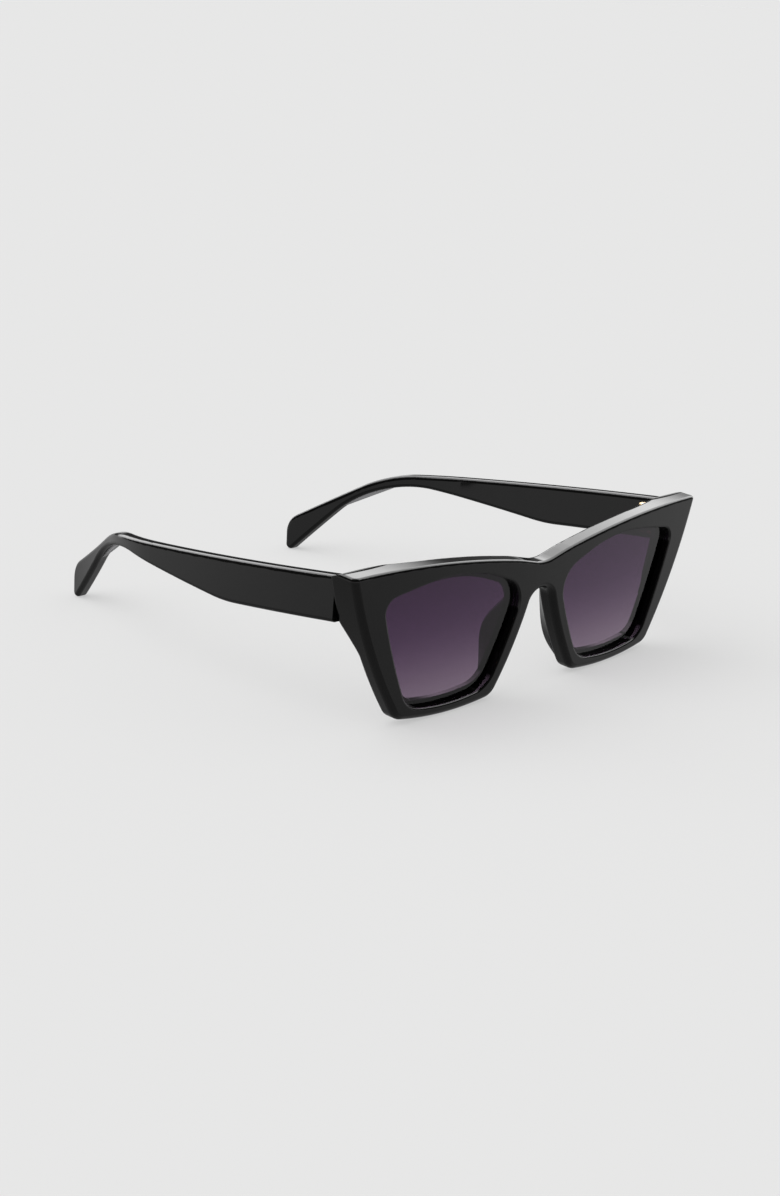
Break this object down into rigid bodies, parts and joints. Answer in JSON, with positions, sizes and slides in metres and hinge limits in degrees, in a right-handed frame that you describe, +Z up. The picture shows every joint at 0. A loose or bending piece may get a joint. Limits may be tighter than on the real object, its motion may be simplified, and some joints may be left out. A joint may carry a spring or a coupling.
{
  "type": "cat eye sunglasses",
  "caption": "Black acetate sunglasses with upswept cat eye corners, gradient tinted lenses and wide tapering temples that fold on barrel hinges.",
  "frame": {"origin": "centre of the footprint's bounding box, on the surface the sunglasses stand on with the temples open", "axes": "+X to the wearer's left, -Y the way the wearer looks, +Z up"},
  "size_m": [0.1446, 0.1546, 0.0453],
  "materials": {
    "acetate_front": "polished black acetate",
    "acetate_temple": "polished black acetate",
    "acetate_pad": "polished black acetate",
    "tinted_lens": "polished, purple-brown tint that fades downwards",
    "hinge_metal": "gold-coloured plating",
    "screw_steel": "turned steel",
    "core_wire_steel": "drawn steel, hidden in the temple"
  },
  "bodies": {
    "front": {"front_frame": "acetate_front", "lens_left": "tinted_lens", "lens_right": "tinted_lens", "nose_pad_left": "acetate_pad", "nose_pad_right": "acetate_pad", "hinge_front_leaf_left": "hinge_metal", "hinge_front_leaf_right": "hinge_metal", "hinge_screw_left": "screw_steel", "hinge_screw_right": "screw_steel"},
    "left_temple": {"temple_left": "acetate_temple", "hinge_temple_leaf_left": "hinge_metal", "temple_core_wire_left": "core_wire_steel"},
    "right_temple": {"temple_right": "acetate_temple", "hinge_temple_leaf_right": "hinge_metal", "temple_core_wire_right": "core_wire_steel"}
  },
  "joints": [
    {"name": "left_hinge", "type": "hinge", "parent": "front", "child": "left_temple", "pos_m": [0.062, -0.06298, 0.03335], "axis": [0, -0.0594, 0.9982], "range_deg": [0, 86]},
    {"name": "right_hinge", "type": "hinge", "parent": "front", "child": "right_temple", "pos_m": [-0.062, -0.06298, 0.03335], "axis": [0, 0.0594, -0.9982], "range_deg": [0, 76]}
  ]
}
